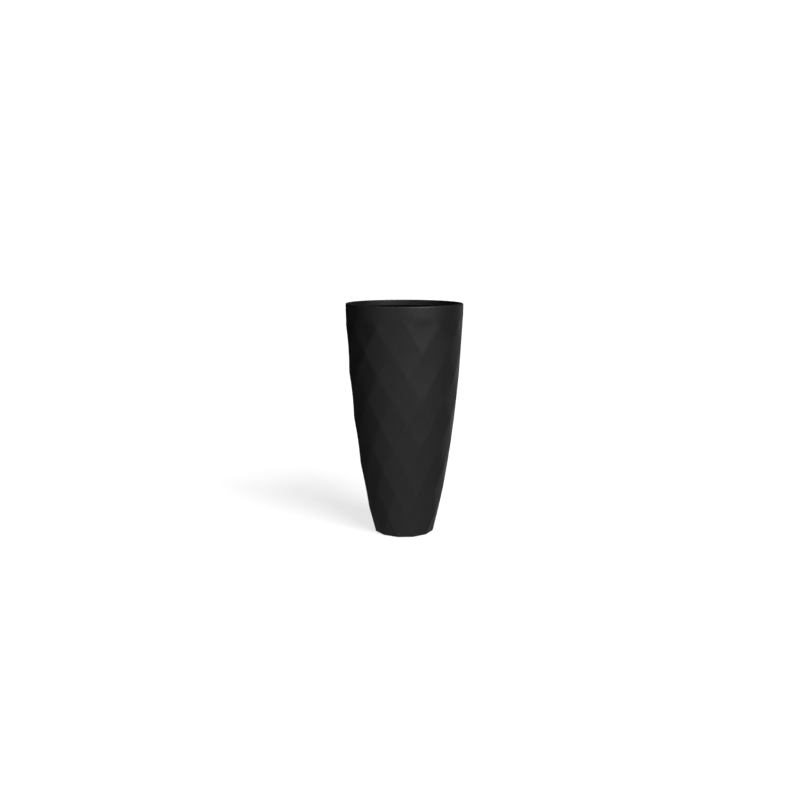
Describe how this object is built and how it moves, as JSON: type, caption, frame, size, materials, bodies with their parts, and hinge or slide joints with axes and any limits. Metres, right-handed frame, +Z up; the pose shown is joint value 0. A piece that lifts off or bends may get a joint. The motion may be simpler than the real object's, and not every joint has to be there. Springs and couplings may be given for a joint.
{
  "type": "tall floor planter",
  "caption": "Tall tapered round floor planter with a diamond-faceted shell, holding a lift-out liner with folding handles and a sub-irrigation insert.",
  "frame": {"origin": "middle of the footprint, on the floor under the foot pads", "axes": "+Z up along the planter's axis, -Y towards the front, +X to the right seen from the front"},
  "size_m": [0.502, 0.502, 1],
  "materials": {
    "shell": "matt black painted fiberglass, faint satin",
    "laminate": "rough resin laminate",
    "liner_plastic": "moulded black, fine texture",
    "handle_plastic": "moulded dark grey",
    "grey_plastic": "moulded grey, fine texture",
    "rubber": "matt",
    "pin_steel": "turned",
    "clear_plastic": "clear moulded",
    "float_foam": "closed-cell foam",
    "red_plastic": "gloss"
  },
  "bodies": {
    "shell": {"outer_shell": "shell", "liner_seat_ring": "laminate", "drain_bushing": "liner_plastic", "drain_gasket": "rubber", "drain_locknut": "liner_plastic", "foot_pad_1": "rubber", "foot_pad_2": "rubber", "foot_pad_3": "rubber", "foot_pad_4": "rubber", "foot_pad_5": "rubber", "foot_pad_6": "rubber"},
    "drain_plug": {"drain_plug": "rubber"},
    "liner": {"liner": "liner_plastic", "handle_pin_1": "pin_steel", "handle_pin_2": "pin_steel", "handle_pin_3": "pin_steel", "handle_pin_4": "pin_steel"},
    "liner_plug": {"liner_drain_plug": "rubber"},
    "handle_left": {"lift_handle_left": "handle_plastic"},
    "handle_right": {"lift_handle_right": "handle_plastic"},
    "insert": {"reservoir_deck": "grey_plastic", "wick_basket_1": "grey_plastic", "wick_basket_2": "grey_plastic", "wick_basket_3": "grey_plastic", "wick_basket_4": "grey_plastic", "fill_tube": "grey_plastic", "fill_cap_pin": "pin_steel", "gauge_tube": "grey_plastic", "gauge_window": "clear_plastic"},
    "cap": {"fill_cap": "handle_plastic"},
    "float": {"gauge_float": "float_foam", "gauge_rod": "red_plastic"}
  },
  "joints": [
    {"name": "drain_plug_pull", "type": "slide", "parent": "shell", "child": "drain_plug", "axis": [0, 0, 1], "range_m": [0, 0.04]},
    {"name": "liner_lift", "type": "slide", "parent": "shell", "child": "liner", "axis": [0, 0, 1], "range_m": [0, 0.49]},
    {"name": "liner_plug_pull", "type": "slide", "parent": "liner", "child": "liner_plug", "axis": [0, 0, 1], "range_m": [0, 0.03]},
    {"name": "handle_left_fold", "type": "hinge", "parent": "liner", "child": "handle_left", "pos_m": [-0.16776, 0, 0.9249], "axis": [0, 1, 0], "range_deg": [0, 90]},
    {"name": "handle_right_fold", "type": "hinge", "parent": "liner", "child": "handle_right", "pos_m": [0.16776, 0, 0.9249], "axis": [0, -1, 0], "range_deg": [0, 90]},
    {"name": "insert_lift", "type": "slide", "parent": "liner", "child": "insert", "axis": [0, 0, 1], "range_m": [0, 0.48]},
    {"name": "fill_cap_hinge", "type": "hinge", "parent": "insert", "child": "cap", "pos_m": [-0.034, 0.169, 0.9315], "axis": [-1, 0, 0], "range_deg": [0, 110]},
    {"name": "float_rise", "type": "slide", "parent": "insert", "child": "float", "axis": [0, 0, 1], "range_m": [0, 0.028]}
  ]
}
